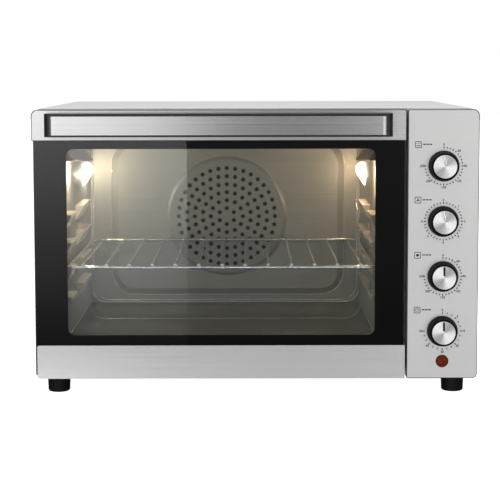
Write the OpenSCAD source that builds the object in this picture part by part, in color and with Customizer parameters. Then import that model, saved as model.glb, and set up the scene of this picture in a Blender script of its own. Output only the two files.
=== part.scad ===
// Countertop convection and rotisserie oven: a sheet-metal case with a drop-down glass door,
// a lit cavity with a wire rack, a fan and a spit drive, and a control panel with four knobs.
// +X is to the right, +Y goes from the door to the back, and +Z is up.
// The origin is on the surface under the oven, at the middle of its outer box.
// Many positions are given as a depth: the distance behind the front face of the door's glass.

/* [Case] */
// Overall width of the case
case_w = 700; // [690:1:716]
// Height of the front, without the feet
case_h = 425; // [424:1:430]
// Depth from the door's glass to the rear cover
case_d = 520; // [518:1:560]
// Outside radius of the case's top corners
case_r = 12; // [8:1:16]
// Thickness of the case's sheet metal
sheet = 1; // [0.8:0.1:1.2]

/* [Feet] */
// Height of a foot
foot_h = 29; // [26:0.5:32]
// Diameter of a foot
foot_d = 36; // [34:1:42]

/* [Door] */
// Thickness of the door behind its glass face
door_t = 26; // [25:0.5:26]
// Gap between the door and the control panel
door_gap = 2.5; // [2:0.1:4]
// Height of the metal trim along the top of the door
top_trim_h = 48.5; // [46:0.5:54]
// Height of the metal trim along the bottom of the door
bottom_trim_h = 53; // [46:0.5:56]
// Thickness of each pane of the door
pane_t = 4; // [3:0.5:4]

/* [Handle] */
// Length of the handle
handle_l = 537.5; // [500:0.5:539]
// Height of the handle
handle_h = 36; // [32:0.5:37]
// How far the handle's face stands in front of the glass
handle_out = 40.5; // [38:0.5:44]

/* [Cavity] */
// Inside width of the cavity
cavity_w = 504; // [500:1:506]
// Height of the cavity floor above the case's bottom edge
cavity_base = 24; // [23:1:26]
// Inside height of the cavity
cavity_h = 360; // [358:1:362]
// Inside radius along the edges of the cavity floor
cavity_r = 27; // [24:1:28]
// Number of rack levels
rack_levels = 4; // [2:1:4]

/* [Rack] */
// Number of bars across the rack
rack_bars = 13; // [9:1:17]
// Diameter of the wire around the rack
rack_wire = 5.2; // [4.6:0.1:5.4]
// Diameter of a bar of the rack
rack_bar = 3.8; // [3:0.1:4]

/* [Controls] */
// Width of the control panel
panel_w = 111.5; // [108:0.5:112]
// Height from one knob to the next
knob_pitch = 87; // [84:1:88]
// Diameter of a knob at the panel
knob_d = 48.4; // [44:0.1:50]
// How far a knob stands out of the panel
knob_h = 19.5; // [17:0.5:21]

/* [Fan] */
// Diameter of the fan cover
fan_cover_d = 224; // [218:1:228]
// Number of fan blades
fan_blades = 10; // [6:1:12]

/* [Hidden] */
$fn = 48;
eps = 0.1;       // overshoot of a cutting shape
run = 0.06;      // radial clearance of a shaft that turns in a bore
snug = 0.02;     // radial clearance of a shaft that is fixed in a bore
trim_t = 1.2;    // thickness of the trims and of the control panel
wall = 0.8;      // thickness of the cavity's walls
rear_out = 12;   // how far the rear spacers stand out

// Depth planes
y_front = (handle_out - case_d - rear_out) / 2;   // front face of the glass
frame_depth = 32;                                 // front face of the case's front frame
case_depth = frame_depth + sheet;                 // front edge of the casing
rear_wall_depth = 440;                            // cavity rear wall
function at(depth) = y_front + depth;
function span(depths) = [at(depths[0]), at(depths[1])];
function around(c, d) = [c - d, c + d];          // limits at a distance d on both sides of c

// Case
half_w = case_w / 2;
z_base = foot_h;
z_top = foot_h + case_h;
base_top = z_base + 2 * sheet;
casing_top = z_top + 1.5;

// Control panel, at the right
panel_x = half_w - panel_w;
knob_x = half_w - 55.5;
knob_z = [for (i = [0:3]) z_base + 75.5 + knob_pitch * (3 - i)];
indicator_z = z_base + 27.6;
shaft_r = 3;

// Door
door_x = [-half_w, panel_x - door_gap];
glass_x = door_x + [1.4, -1.4];
frame_x = door_x + [9, -9];
frame_z = [z_base + 24, z_top - 12];
view_x = door_x + [46, -40];             // opening in the inner frame
view_z = [z_base + 60, z_top - 58];
hinge_depth = 14;
hinge_z = z_base + 14;
pin_r = 4;
pin_l = 19;

// Cavity
cavity_floor = z_base + cavity_base;
cavity_top = cavity_floor + cavity_h;
cav_x = around((door_x[0] + door_x[1]) / 2 + 2, cavity_w / 2);
cav_z = [cavity_floor, cavity_top];
wall_z = cavity_floor + cavity_r;        // top edge of the floor pan
mouth_z = cavity_floor + 10;             // bottom edge of the cavity's mouth
pad_step = 5;                            // how far the rear wall's panel is pressed forward
pad_x = cav_x + [39.5, -30];
pad_z = [wall_z + 14.5, cavity_top - 29];
pad_depth = rear_wall_depth - pad_step;

// Rack and its guides
guide_out = 13.5;
guide_h = 27;
guide_z = [for (i = [0:rack_levels - 1]) cavity_floor + 100.5 + 44 * i];
guide_depths = [[35, 109], [198, 316]];
rack_z = guide_z[1] + rack_wire / 2 + eps;
rack_x = cav_x + [6, -6];
rack_depths = [45, 422];
rack_corner = 16;

// Fan
fan_x = (cav_x[0] + cav_x[1]) / 2 + 3;
fan_z = cavity_floor + 190;
fan_hole_r = 98;
fan_r = 82;
fan_pan_depth = rear_wall_depth + 32;
fan_shaft_r = 4;

// Heaters, lamps and spit drive
heater_r = 3.5;
heater_depths = [130, 330];
upper_heater_z = cavity_top - 12;
lower_heater_z = z_base + 13;
lamp_depth = 334.5;
lamp_z = cavity_floor + 275;
lamp_size = [57, 44];
lamp_out = 15;
lamp_hole_r = 16;
spit_depth = 235;
spit_z = guide_z[1] + 52.5;
spit_bore_r = 5;
spit_socket_r = 7.5;
spit_hole_r = 8.3;
probe_depth = 230;

// Rear
gland_x = half_w - 60;
gland_z = z_base + 44;
gland_bore_r = 4.2;
spacer_x = half_w - 110;
spacer_z = z_top - 52;
screw_r = 1.8;
rear_screws = concat(
    [for (x = [-1, 1], z = [z_base + 60, z_base + 210, z_top - 60]) [x * (half_w - 7), z]],
    [for (x = [-230, 0, 230]) [x, casing_top - 7]]
);

steel = [0.80, 0.80, 0.79];
zinc = [0.62, 0.63, 0.62];
enamel = [0.45, 0.45, 0.43];
black = [0.06, 0.06, 0.06];
pale = [0.90, 0.88, 0.82];
clear_glass = [0.72, 0.80, 0.80, 0.35];
lamp_glass = [1.00, 0.88, 0.60, 0.60];
amber = [0.32, 0.06, 0.04];

// ---------- shapes ----------

// A box from its limits along x, y and z.
module block(x, y, z) {
    translate([x[0], y[0], z[0]]) cube([x[1] - x[0], y[1] - y[0], z[1] - z[0]]);
}

// Points of a quarter circle about c, from angle a to a + 90.
function quarter(c, r, a, n = 8) = [for (i = [0:n]) c + r * [cos(a + 90 * i / n), sin(a + 90 * i / n)]];

// Outline of a rectangle. r holds its corner radii: right top, left top, left bottom, right bottom.
function outline(x, z, r) = concat(
    quarter([x[1] - r[0], z[1] - r[0]], r[0], 0),
    quarter([x[0] + r[1], z[1] - r[1]], r[1], 90),
    quarter([x[0] + r[2], z[0] + r[2]], r[2], 180),
    quarter([x[1] - r[3], z[0] + r[3]], r[3], 270)
);
function even(r) = [r, r, r, r];

// Makes a flat shape, drawn in x and z, into a plate between two y positions.
module across(y) {
    translate([0, y[1], 0]) rotate([90, 0, 0]) linear_extrude(y[1] - y[0]) children();
}
module plate(x, z, r, y) {
    across(y) polygon(outline(x, z, r));
}

// Round rods along y and along x, and between any two points.
module rod_y(x, y, z, r) {
    translate([x, y[0], z]) rotate([-90, 0, 0]) cylinder(r = r, h = y[1] - y[0]);
}
module rod_x(x, y, z, r) {
    translate([x[0], y, z]) rotate([0, 90, 0]) cylinder(r = r, h = x[1] - x[0]);
}
module rod(a, b, r) {
    d = b - a;
    translate(a) rotate([0, acos(d[2] / norm(d)), atan2(d[1], d[0])]) cylinder(r = r, h = norm(d));
}

// Turns a profile of [radius, distance] points about an axis along y or x.
// The distance counts towards the front, the back, the right or the left.
module turned_front(x, y, z) {
    translate([x, y, z]) rotate([90, 0, 0]) rotate_extrude() children();
}
module turned_back(x, y, z) {
    translate([x, y, z]) rotate([-90, 0, 0]) rotate_extrude() children();
}
module turned_side(x, y, z, side) {
    translate([x, y, z]) rotate([0, 90 * side, 0]) rotate_extrude() children();
}

// ---------- case ----------

// Cross-section of the casing: two straight sides and a top with round corners.
function arch(w, top, r, bottom) = concat(
    [[w, bottom]], quarter([w - r, top - r], r, 0), quarter([-w + r, top - r], r, 90), [[-w, bottom]]
);
module arch_plate(inset, y) {
    bottom = inset > 0 ? z_base - eps : z_base;
    across(y) polygon(arch(half_w - inset, casing_top - inset, max(2, case_r - inset), bottom));
}

lip = 13;   // width of the edges turned in along the casing's rear and bottom
base_fold = [z_base, z_base + sheet];
module casing_wrap() {
    slot_pitch = 11;
    slot_rows = 14;
    slot_y = span([case_d - 96, case_d - 40]);
    color(steel) difference() {
        union() {
            difference() {
                arch_plate(0, span([case_depth, case_d - sheet]));
                arch_plate(sheet, span([case_depth - 1, case_d]));
                for (i = [0:slot_rows - 1])
                    block(around(0, half_w + 1), slot_y, around(z_base + 112 + slot_pitch * i, 2));
            }
            difference() {
                arch_plate(0, span([case_d - 2 * sheet, case_d - sheet]));
                arch_plate(lip, span([case_d - 3 * sheet, case_d]));
            }
            for (side = [-1, 1])
                block(around(side * (half_w - lip / 2), lip / 2), span([case_depth, case_d - sheet]),
                    base_fold);
        }
        for (p = rear_screws) rod_y(p[0], span([case_d - 4, case_d]), p[1], screw_r + snug);
    }
}

module base_plate() {
    color(zinc) difference() {
        block([-half_w + 1.2, half_w - 1.2], span([case_depth + eps, case_d - 2.2]),
            [z_base + sheet, base_top]);
        for (i = [0:12], depth = [180, 390])
            block([-182 + 20 * i, -176 + 20 * i], span([depth, depth + 50]), [z_base, base_top + 1]);
    }
}

module rear_cover() {
    y = span([case_d - 2, case_d + 1]);
    color(zinc) difference() {
        plate(around(0, half_w - 1), [z_base + 1, casing_top - 1], [11, 11, 2, 2],
            span([case_d - sheet, case_d]));
        for (i = [0:10], x = [[fan_x - 72, fan_x + 72], [half_w - 130, half_w - 40]])
            block(x, y, around(fan_z - 60 + 12 * i, 2));
        for (p = rear_screws) rod_y(p[0], y, p[1], screw_r + snug);
        rod_y(gland_x, y, gland_z, 9 + snug);
        for (side = [-1, 1]) rod_y(side * spacer_x, y, spacer_z, 3 + snug);
    }
}

module front_frame() {
    fold = span([frame_depth, frame_depth + 12]);
    cut = span([frame_depth - 1, frame_depth + 2]);
    color(zinc) difference() {
        union() {
            plate(around(0, half_w), [z_base, z_top + 0.5], [11, 11, 3, 3], span([frame_depth, case_depth]));
            plate(around(0, half_w - 1.3), [z_base + 2.3, z_top - 1], [10, 10, 2, 2], fold);
        }
        plate(around(0, half_w - 2.3), [z_base + 3.3, z_top - 2], [9, 9, 2, 2], fold + [sheet, 1]);
        plate(cav_x, [mouth_z, cav_z[1]], [6, 6, 22, 22], cut);
        block([panel_x + 14, half_w - 10], cut, [z_base + 14, z_top - 16]);
    }
}

seal_w = 7;
module door_seal() {
    color(black) difference() {
        plate(cav_x + [-12, 12], [mouth_z - 9, cav_z[1] + 12], even(24), span([door_t + 0.3, frame_depth]));
        plate(cav_x + [seal_w - 12, 12 - seal_w], [mouth_z - 2, cav_z[1] + 12 - seal_w], even(18),
            span([door_t - 1, frame_depth + 1]));
    }
}

module foot() {
    edge_r = 3;
    rotate_extrude() polygon(concat(
        [[0, 0]], quarter([foot_d / 2 - 0.5 - edge_r, edge_r], edge_r, 270),
        [[foot_d / 2, foot_h / 2], [foot_d / 2, foot_h], [12, foot_h], [12, foot_h + sheet],
            [0, foot_h + sheet]]
    ));
}
module feet() {
    color(black) for (x = [-1, 1], depth = [48, case_d - 50])
        translate([x * (half_w - 32.5), at(depth), 0]) foot();
}

module cord_gland() {
    color(black) turned_back(gland_x, at(case_d), gland_z) polygon([
        [gland_bore_r, -14], [9, -14], [9, 0], [12.5, 0], [12.5, 3], [9.5, 4], [7.5, 11], [gland_bore_r, 11]
    ]);
}

module rear_spacers() {
    color(black) for (side = [-1, 1]) turned_back(side * spacer_x, at(case_d), spacer_z) polygon([
        [0, -6], [3, -6], [3, 0], [11, 0], [9, rear_out - 1], [8, rear_out], [0, rear_out]
    ]);
}

module case_screws() {
    color(steel) for (p = rear_screws) turned_back(p[0], at(case_d), p[1]) polygon([
        [0, -7], [screw_r, -7], [screw_r, 0], [4, 0], [3.4, 1.6], [2, 2.3], [0, 2.4]
    ]);
}

// ---------- cavity ----------

// Rounded block that the floor pan is formed around; grow makes the outside of the pan.
module pan_form(grow) {
    r = cavity_r + grow;
    hull() for (x = cav_x + [cavity_r, -cavity_r]) {
        translate([x, at(rear_wall_depth) - cavity_r, wall_z]) sphere(r = r, $fn = 32);
        translate([x, at(case_depth) - 40, wall_z]) rotate([-90, 0, 0]) cylinder(r = r, h = 10, $fn = 32);
    }
}
module cavity_floor_pan() {
    color(enamel) difference() {
        pan_form(wall);
        pan_form(0);
        block([-half_w, half_w], span([-60, rear_wall_depth + 60]), [wall_z, wall_z + 60]);
        block([-half_w, half_w], span([-60, case_depth]), [0, wall_z + 1]);
    }
}

module cavity_ceiling() {
    color(enamel) block(cav_x + [-wall, wall], span([case_depth, rear_wall_depth + wall]),
        [cav_z[1], cav_z[1] + wall]);
}

module side_wall(side) {
    x = side < 0 ? [cav_x[0] - wall, cav_x[0]] : [cav_x[1], cav_x[1] + wall];
    cut = x + [-1, 1];
    color(enamel) difference() {
        block(x, span([case_depth, rear_wall_depth]), [wall_z, cav_z[1]]);
        rod_x(cut, at(lamp_depth), lamp_z, lamp_hole_r);
        for (depth = heater_depths) rod_x(cut, at(depth), upper_heater_z, heater_r + 1);
        if (side > 0) {
            rod_x(cut, at(spit_depth), spit_z, spit_hole_r);
            rod_x(cut, at(probe_depth), upper_heater_z, 3.5);
        }
    }
}
module cavity_left_wall() side_wall(-1);
module cavity_right_wall() side_wall(1);

// Thin slice of the rear wall's pressed panel, at a depth and inset from the panel's foot.
module pad_slice(inset, depth, t) {
    plate(pad_x + [inset, -inset], pad_z + [inset, -inset], even(43 - inset), span([depth, depth + t]));
}
module cavity_rear_wall() {
    slope = 12;
    color(enamel) difference() {
        union() {
            block(cav_x + [-wall, wall], span([rear_wall_depth, rear_wall_depth + wall]),
                [wall_z, cav_z[1]]);
            hull() {
                pad_slice(0, rear_wall_depth, eps);
                pad_slice(slope, pad_depth, eps);
            }
        }
        hull() {
            pad_slice(wall, rear_wall_depth + wall, eps);
            pad_slice(slope + wall / 2, pad_depth + wall, eps);
        }
        rod_y(fan_x, span([pad_depth - 2, rear_wall_depth + 2]), fan_z, fan_hole_r);
    }
}

module rack_guides(side) {
    x = side < 0 ? cav_x[0] : cav_x[1];
    out = -side * guide_out;
    color(enamel) for (z = guide_z, d = guide_depths)
        across(span(d)) polygon([[x, z], [x + out, z], [x + out, z - 4], [x, z - guide_h]]);
}
module rack_guides_left() rack_guides(-1);
module rack_guides_right() rack_guides(1);

module wire_rack() {
    y = span(rack_depths);
    corners = [
        [rack_x[0], y[0], rack_z], [rack_x[0], y[1] - rack_corner, rack_z],
        [rack_x[0] + rack_corner, y[1], rack_z], [rack_x[1] - rack_corner, y[1], rack_z],
        [rack_x[1], y[1] - rack_corner, rack_z], [rack_x[1], y[0], rack_z]
    ];
    bar_z = rack_z + (rack_wire + rack_bar) / 2 - 0.5;
    first_bar = rack_x[0] + 24.2;
    bar_pitch = (rack_x[1] - 21.9 - first_bar) / (rack_bars - 1);
    color(steel) union() {
        for (i = [0:len(corners) - 1]) {
            rod(corners[i], corners[(i + 1) % len(corners)], rack_wire / 2);
            translate(corners[i]) sphere(r = rack_wire / 2);
        }
        for (i = [0:rack_bars - 1]) rod_y(first_bar + bar_pitch * i, y + [-1, 1], bar_z, rack_bar / 2);
    }
}

// ---------- fan ----------

module fan_cover() {
    r = fan_cover_d / 2;
    color(enamel) difference() {
        turned_front(fan_x, at(pad_depth), fan_z)
            polygon([[0, 2], [r - 6.5, 2], [r - 2, 0], [r, 0], [r - 6, 3], [0, 3]]);
        for (ring = [1:6]) {
            ring_r = 15 * ring;
            count = 6 * ring;
            for (i = [0:count - 1])
                rod_y(fan_x + ring_r * sin(360 * i / count), span([pad_depth - 4, pad_depth - 1]),
                    fan_z + ring_r * cos(360 * i / count), 4);
        }
    }
}

module fan_pan() {
    d = fan_pan_depth - rear_wall_depth - wall;
    r = fan_hole_r;
    color(zinc) turned_back(fan_x, at(rear_wall_depth + wall), fan_z)
        polygon([[r, 0], [r + 9, 0], [r + 9, 1], [r + 1, 1], [r + 1, d], [10, d], [10, d - 1], [r, d - 1]]);
}

module fan_motor() {
    bore = fan_shaft_r + run;
    color(zinc) turned_back(fan_x, at(fan_pan_depth), fan_z)
        polygon([[bore, 0], [46, 0], [46, 2], [36, 2], [36, 38], [0, 38], [0, 27], [bore, 27]]);
}

module convection_fan() {
    back = fan_pan_depth - 10;
    color(steel) union() {
        rod_y(fan_x, span([back - 1.2, back]), fan_z, fan_r);
        rod_y(fan_x, span([back - 18, back + 3]), fan_z, 9);
        rod_y(fan_x, span([back - 18, fan_pan_depth + 25]), fan_z, fan_shaft_r);
        for (i = [0:fan_blades - 1]) translate([fan_x, at(back), fan_z]) rotate([0, 360 / fan_blades * i, 0])
            block([36, fan_r - 1], [-16, -1], [-0.6, 0.6]);
    }
}

// ---------- heaters, lamps and spit drive ----------

module upper_heaters() {
    color(zinc) for (depth = heater_depths) rod_x(cav_x + [-13, 13], at(depth), upper_heater_z, heater_r);
}
module lower_heaters() {
    color(zinc) for (depth = heater_depths) rod_x(cav_x + [8, -8], at(depth), lower_heater_z, heater_r);
}
module heater_insulators() {
    bore = heater_r + snug;
    post = 6;
    color(pale) for (depth = heater_depths, side = [0, 1]) {
        out = side == 0 ? -1 : 1;
        turned_side(cav_x[side] + out * wall, at(depth), upper_heater_z, out)
            polygon([[bore, 0], [8, 0], [8, 9], [bore, 9]]);
        x = cav_x[side] - out * 18;
        difference() {
            block(around(x, 4), around(at(depth), post), [base_top, lower_heater_z + post]);
            rod_x(around(x, 5), at(depth), lower_heater_z, bore);
        }
    }
}

// Rounded block of the lamp cover's outside, or of its inside when shrink is its thickness.
module lamp_dome(side, shrink) {
    r = 13 - shrink;
    x = side < 0 ? cav_x[0] : cav_x[1];
    dy = lamp_size[0] / 2 - 13;
    dz = lamp_size[1] / 2 - 13;
    low_out = lamp_out - 10;   // the cover slants back to the wall at its lower edge
    hull() for (y = [-dy, dy], z = [-dz, dz])
        translate([x - side * ((z < 0 ? low_out : lamp_out) - 13), at(lamp_depth) + y, lamp_z + z])
            sphere(r = r, $fn = 32);
}
module lamp_covers() {
    color(lamp_glass) for (side = [-1, 1]) difference() {
        lamp_dome(side, 0);
        lamp_dome(side, 2);
        x = side < 0 ? [cav_x[0] - 30, cav_x[0]] : [cav_x[1], cav_x[1] + 30];
        block(x, around(at(lamp_depth), 60), around(lamp_z, 60));
    }
}
module lamp_bulbs() {
    color(lamp_glass) for (side = [-1, 1])
        turned_side(side < 0 ? cav_x[0] : cav_x[1], at(lamp_depth), lamp_z + 4, -side)
            polygon(concat([[0, -10], [6, -10], [6, -6]], quarter([0, 1], 7, 0)));
}
module lamp_holders() {
    color(pale) for (side = [-1, 1])
        turned_side((side < 0 ? cav_x[0] : cav_x[1]) + side * wall, at(lamp_depth), lamp_z, side)
            polygon([
                [lamp_hole_r, 0], [22, 0], [22, 3], [19, 3], [19, 24], [0, 24], [0, 9.4], [lamp_hole_r, 9.4]
            ]);
}
module lamp_hoods() {
    hood_depths = [60, 366];
    slope = 3.7;   // the hood rises towards the door
    z = lamp_z + lamp_size[1] / 2 + 0.4;
    color(enamel) for (side = [-1, 1]) {
        x = side < 0 ? cav_x[0] : cav_x[1];
        translate([0, at(hood_depths[1]), z]) rotate([-slope, 0, 0])
            across([hood_depths[0] - hood_depths[1], 0])
            polygon([[x, 0], [x - side * 14, 0], [x - side * 14, 3], [x, 20]]);
    }
}

spit_plug = 16;   // length of the socket from the cavity's wall into the motor
module spit_motor() {
    y = at(spit_depth);
    x = cav_x[1] + wall;
    size = 29;
    color(zinc) difference() {
        union() {
            block([x, x + 1.5], around(y, size + 9), around(spit_z, 16));
            block([x + 1.5, x + 46], around(y, size), around(spit_z, size));
        }
        rod_x([x - 1, x + spit_plug], y, spit_z, spit_hole_r);
        rod_x([x - 1, x + 36], y, spit_z, 4 + run);
    }
}
module spit_drive() {
    y = at(spit_depth);
    tip = cav_x[1] - 1;
    color(steel) difference() {
        union() {
            rod_x([tip, tip + 14], y, spit_z, spit_socket_r);
            rod_x([tip, tip + 34], y, spit_z, 4);
        }
        rod_x([tip - 1, tip + 12], y, spit_z, spit_bore_r);
    }
}
module spit_rest() {
    y = at(spit_depth);
    x = [cav_x[0], cav_x[0] + 8];
    groove_r = spit_bore_r + 0.3;
    color(zinc) difference() {
        block(x, around(y, 8.5), [guide_z[2] + 0.2, spit_z + 3]);
        rod_x(x + [-1, 1], y, spit_z, groove_r);
        block(x + [-1, 1], around(y, groove_r), [spit_z, spit_z + 10]);
    }
}

module thermostat_probe() {
    color(steel) union() {
        rod_x([cav_x[1] - 70, cav_x[1] + 12], at(probe_depth), upper_heater_z, 3);
        rod_x([cav_x[1] + wall, cav_x[1] + wall + 2], at(probe_depth), upper_heater_z, 9);
    }
}

// ---------- control panel ----------

bush_r = 5;
module control_panel() {
    hole = span([-3, 1]);
    color(steel) difference() {
        plate([panel_x, half_w], [z_base, z_top], [10, 2, 2, 7], span([-trim_t, frame_depth]));
        plate([panel_x + trim_t, half_w - trim_t], [z_base + trim_t, z_top - trim_t], [9, 1, 1, 6],
            span([0, frame_depth + 1]));
        for (z = knob_z) rod_y(knob_x, hole, z, bush_r + snug);
        rod_y(knob_x, hole, indicator_z, 8 + snug);
    }
}

// Body of a switch behind the panel, with its bush through the panel and its shaft's bore.
module switch_bush(z) {
    rod_y(knob_x, span([-trim_t - 0.8, 1]), z, bush_r);
}
module switch_bore(z) {
    rod_y(knob_x, span([-4, 22]), z, shaft_r + run);
}
module square_switch(z, w, h, depth) {
    color(black) difference() {
        union() {
            block(around(knob_x, w / 2), span([0, depth]), around(z, h / 2));
            switch_bush(z);
        }
        switch_bore(z);
    }
}
module round_switch(z, r, depth) {
    color(pale) difference() {
        union() {
            rod_y(knob_x, span([0, depth]), z, r);
            switch_bush(z);
        }
        switch_bore(z);
    }
}
module upper_heat_switch() round_switch(knob_z[0], 21, 26);
module function_switch() square_switch(knob_z[1], 44, 38, 28);
module lower_heat_switch() round_switch(knob_z[2], 21, 26);
module timer_switch() square_switch(knob_z[3], 50, 54, 30);

module indicator_holder() {
    color(steel) turned_front(knob_x, at(-trim_t), indicator_z)
        polygon([[6, -24], [8, -24], [8, 0], [10, 0], [10, 1], [8.9, 1.8], [8.6, 1], [6, 1]]);
}
module indicator_lens() {
    color(amber) turned_front(knob_x, at(-trim_t), indicator_z)
        polygon(concat([[0, -20], [5.9, -20], [5.9, 1.05]],
            [for (a = [0:15:90]) [8.5 * cos(a), 1.05 + 2 * sin(a)]]));
}

// The knobs. Distances are from the panel's face, and the cap is set into the knob's face.
cap_r = 18.6;
grip = 14;     // how far the shaft reaches into the knob
module knob(z) {
    r = knob_d / 2;
    rim_r = cap_r + 0.5;
    face_r = rim_r + 1.2;
    color(black) turned_front(knob_x, at(-trim_t), z) polygon(concat(
        [[shaft_r + snug, 2], [bush_r + 1.5, 2], [bush_r + 1.5, 0.6], [r, 0.6], [r, 2.4]],
        quarter([face_r - 1, knob_h - 2], 2, 0),
        [[rim_r, knob_h], [rim_r, knob_h - 1.3], [0, knob_h - 1.3], [0, grip], [shaft_r + snug, grip]]
    ));
}
module cap(z) {
    h = knob_h - 1.3;
    color(steel) turned_front(knob_x, at(-trim_t), z)
        polygon([[0, h], [cap_r, h], [cap_r, h + 0.5], [cap_r - 0.4, h + 0.9], [0, h + 0.9]]);
}
module shaft(z) {
    color(zinc) rod_y(knob_x, span([-trim_t - grip, 20]), z, shaft_r);
}
module upper_heat_knob() knob(knob_z[0]);
module upper_heat_cap() cap(knob_z[0]);
module upper_heat_shaft() shaft(knob_z[0]);
module function_knob() knob(knob_z[1]);
module function_cap() cap(knob_z[1]);
module function_shaft() shaft(knob_z[1]);
module lower_heat_knob() knob(knob_z[2]);
module lower_heat_cap() cap(knob_z[2]);
module lower_heat_shaft() shaft(knob_z[2]);
module timer_knob() knob(knob_z[3]);
module timer_cap() cap(knob_z[3]);
module timer_shaft() shaft(knob_z[3]);

// ---------- door ----------

module door_glass() {
    color(clear_glass) plate(glass_x, [z_base + 4, z_top - 12], even(2), span([0, pane_t]));
}

module door_inner_frame() {
    color(black) difference() {
        plate(frame_x, frame_z, even(6), span([pane_t, door_t]));
        plate(frame_x + [1, -1], frame_z + [1, -1], even(5), span([pane_t + 1, door_t - 1]));
        plate(view_x, view_z, even(12), span([pane_t - 1, door_t + 1]));
    }
}
module door_inner_glass() {
    color(clear_glass)
        plate(view_x + [-14, 14], view_z + [-14, 14], even(4), span([door_t - 1 - pane_t, door_t - 1]));
}

module door_top_trim() {
    z = z_top - top_trim_h;
    color(steel) difference() {
        plate(door_x, [z, z_top], [2, 10, 1, 1], span([-trim_t, door_t]));
        plate(door_x + [trim_t, -trim_t], [z - 20, z_top - trim_t], [1, 9, 1, 1], span([0, door_t + 1]));
    }
}
module door_bottom_trim() {
    color(steel) union() {
        plate(door_x + [4.8, -0.5], [z_base, z_base + bottom_trim_h], [1, 3, 4, 1], span([-trim_t, 0]));
        block(door_x + [8, -8], span([-trim_t / 2, 6]), [z_base, z_base + trim_t]);
    }
}

// The door turns on two pins at its lower corners: barrels on the door, brackets on the case.
barrel_r = 8;
barrel_l = 16;
bracket_t = 3;
module door_hinge_barrels() {
    y = at(hinge_depth);
    color(zinc) for (x = [frame_x[0], frame_x[1] - barrel_l]) difference() {
        union() {
            rod_x([x, x + barrel_l], y, hinge_z, barrel_r);
            block([x, x + barrel_l], around(y, 4), [hinge_z, frame_z[0]]);
        }
        rod_x([x - 1, x + barrel_l + 1], y, hinge_z, pin_r + run);
    }
}
module hinge_brackets() {
    y = at(hinge_depth);
    color(zinc) for (side = [-1, 1]) {
        ear_x = side < 0 ? door_x[0] + 2 : door_x[1] - 2 - bracket_t;
        inner_x = side < 0 ? ear_x + bracket_t : ear_x;
        union() {
            rod_x([ear_x, ear_x + bracket_t], y, hinge_z, 6);
            block([ear_x, ear_x + bracket_t], [y, at(frame_depth)], around(hinge_z, 6));
            block(side < 0 ? [ear_x, ear_x + 26] : [ear_x + bracket_t - 26, ear_x + bracket_t],
                span([frame_depth - 2, frame_depth]), around(hinge_z, 8));
            rod_x(side < 0 ? [inner_x - 1, inner_x + pin_l] : [inner_x - pin_l, inner_x + 1],
                y, hinge_z, pin_r);
        }
    }
}

// The handle: a black bar with both ends bent back to the door, and a metal cover on its face.
cover_t = 2.5;
bar_t = 12;
post_w = 20;
handle_left = door_x[0] + 24.3;
handle_x = [handle_left, handle_left + handle_l];
handle_top = z_top - 5;
handle_z = [handle_top - handle_h, handle_top];
bar_depths = [-handle_out + cover_t, -handle_out + cover_t + bar_t];
module handle_core() {
    x = handle_x;
    y = at(bar_depths[0]);
    back = at(-trim_t);
    inner = at(bar_depths[1]);
    r = 9;
    color(black) translate([0, 0, handle_z[0]]) linear_extrude(handle_z[1] - handle_z[0]) polygon(concat(
        quarter([x[0] + r, y + r], r, 180), quarter([x[1] - r, y + r], r, 270),
        [[x[1], back], [x[1] - post_w, back], [x[1] - post_w, inner]],
        [[x[0] + post_w, inner], [x[0] + post_w, back], [x[0], back]]
    ));
}
module handle_cover() {
    color(steel) plate(handle_x + [10, -10], handle_z + [2.9, -4.3], even(2),
        span([-handle_out, -handle_out + cover_t]));
}

casing_wrap();
base_plate();
rear_cover();
front_frame();
door_seal();
cavity_floor_pan();
cavity_ceiling();
cavity_left_wall();
cavity_right_wall();
cavity_rear_wall();
rack_guides_left();
rack_guides_right();
fan_cover();
fan_pan();
fan_motor();
convection_fan();
upper_heaters();
lower_heaters();
heater_insulators();
lamp_holders();
lamp_bulbs();
lamp_covers();
lamp_hoods();
spit_motor();
spit_drive();
spit_rest();
thermostat_probe();
control_panel();
upper_heat_switch();
function_switch();
lower_heat_switch();
timer_switch();
indicator_holder();
indicator_lens();
feet();
cord_gland();
rear_spacers();
case_screws();
hinge_brackets();
door_glass();
door_inner_frame();
door_inner_glass();
door_top_trim();
door_bottom_trim();
door_hinge_barrels();
handle_core();
handle_cover();
wire_rack();
upper_heat_knob();
upper_heat_cap();
upper_heat_shaft();
function_knob();
function_cap();
function_shaft();
lower_heat_knob();
lower_heat_cap();
lower_heat_shaft();
timer_knob();
timer_cap();
timer_shaft();
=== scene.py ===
import math

import bmesh
import bpy
from mathutils import Matrix, Vector


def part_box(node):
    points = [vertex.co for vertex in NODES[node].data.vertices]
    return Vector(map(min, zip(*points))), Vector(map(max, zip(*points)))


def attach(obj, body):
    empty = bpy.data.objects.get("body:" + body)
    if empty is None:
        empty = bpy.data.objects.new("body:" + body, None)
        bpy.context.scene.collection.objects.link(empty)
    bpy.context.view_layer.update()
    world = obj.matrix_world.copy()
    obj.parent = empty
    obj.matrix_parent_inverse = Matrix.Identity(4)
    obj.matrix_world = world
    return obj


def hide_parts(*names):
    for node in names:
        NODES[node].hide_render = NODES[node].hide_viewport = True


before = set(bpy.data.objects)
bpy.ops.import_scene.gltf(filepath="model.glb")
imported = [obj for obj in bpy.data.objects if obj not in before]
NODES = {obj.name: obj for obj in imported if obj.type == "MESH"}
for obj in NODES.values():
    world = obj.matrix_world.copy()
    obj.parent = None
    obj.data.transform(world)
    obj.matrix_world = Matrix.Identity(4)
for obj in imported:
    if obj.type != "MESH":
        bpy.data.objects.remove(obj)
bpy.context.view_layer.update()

# The looks of the rotisserie oven, in metres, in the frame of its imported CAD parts.

MM = 0.001

# ---------- places taken from the frame ----------

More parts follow.
